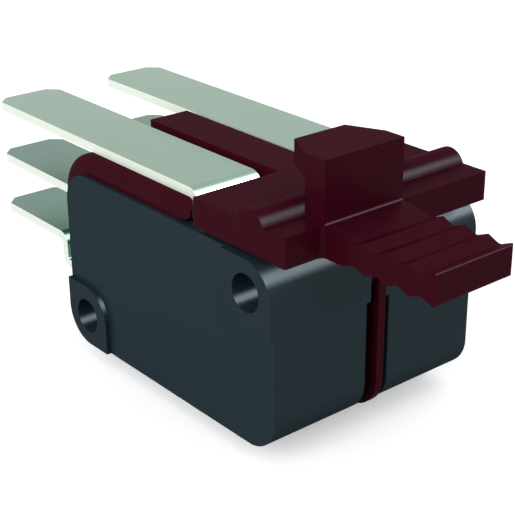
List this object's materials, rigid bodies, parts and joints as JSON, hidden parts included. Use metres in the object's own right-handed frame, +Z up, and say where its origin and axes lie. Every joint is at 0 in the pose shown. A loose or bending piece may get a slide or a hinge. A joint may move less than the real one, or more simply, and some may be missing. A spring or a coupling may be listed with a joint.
{
  "type": "auxiliary contact block",
  "caption": "Plug-on auxiliary contact block: twin snap switches with flat blade terminals under a moulded carrier with a snap hook and a ribbed finger tab.",
  "frame": {"origin": "on the axis of the lower mounting bore, midway between the two switches", "axes": "+X from the terminals to the finger tab, +Y along the mounting bores from the right switch to the left, +Z up from the plungers to the carrier"},
  "size_m": [0.0539, 0.022, 0.0249],
  "materials": {
    "carrier_plastic": "satin moulded",
    "case_plastic": "satin moulded",
    "plunger_plastic": "moulded",
    "tinned_brass": "tin plated",
    "contact_silver": "silver alloy",
    "spring_copper": "rolled"
  },
  "bodies": {
    "block": {"carrier": "carrier_plastic", "right_case": "case_plastic", "right_cover": "case_plastic", "right_com_terminal": "tinned_brass", "right_no_terminal": "tinned_brass", "right_nc_terminal": "tinned_brass", "right_no_contact": "contact_silver", "right_nc_contact": "contact_silver", "left_case": "case_plastic", "left_cover": "case_plastic", "left_com_terminal": "tinned_brass", "left_no_terminal": "tinned_brass", "left_nc_terminal": "tinned_brass", "left_no_contact": "contact_silver", "left_nc_contact": "contact_silver"},
    "right_plunger": {"right_plunger": "plunger_plastic"},
    "right_snap_blade": {"right_blade": "spring_copper", "right_moving_contact": "contact_silver"},
    "left_plunger": {"left_plunger": "plunger_plastic"},
    "left_snap_blade": {"left_blade": "spring_copper", "left_moving_contact": "contact_silver"}
  },
  "joints": [
    {"name": "right_plunger_slide", "type": "slide", "parent": "block", "child": "right_plunger", "axis": [0, 0, 1], "range_m": [0, 0.0014], "stiffness_N_per_m": 300, "springref_m": -0.001},
    {"name": "right_blade_snap", "type": "hinge", "parent": "block", "child": "right_snap_blade", "pos_m": [0.0182, -0.00588, 0.00464], "axis": [0, 1, 0], "range_deg": [0, 3.6]},
    {"name": "left_plunger_slide", "type": "slide", "parent": "block", "child": "left_plunger", "axis": [0, 0, 1], "range_m": [0, 0.0014], "stiffness_N_per_m": 300, "springref_m": -0.001},
    {"name": "left_blade_snap", "type": "hinge", "parent": "block", "child": "left_snap_blade", "pos_m": [0.0182, 0.00588, 0.00464], "axis": [0, 1, 0], "range_deg": [0, 3.6]}
  ],
  "couplings": [
    {"joint": "right_blade_snap", "follows": "right_plunger_slide", "rad_per_m": 44.88},
    {"joint": "left_blade_snap", "follows": "left_plunger_slide", "rad_per_m": 44.88}
  ]
}
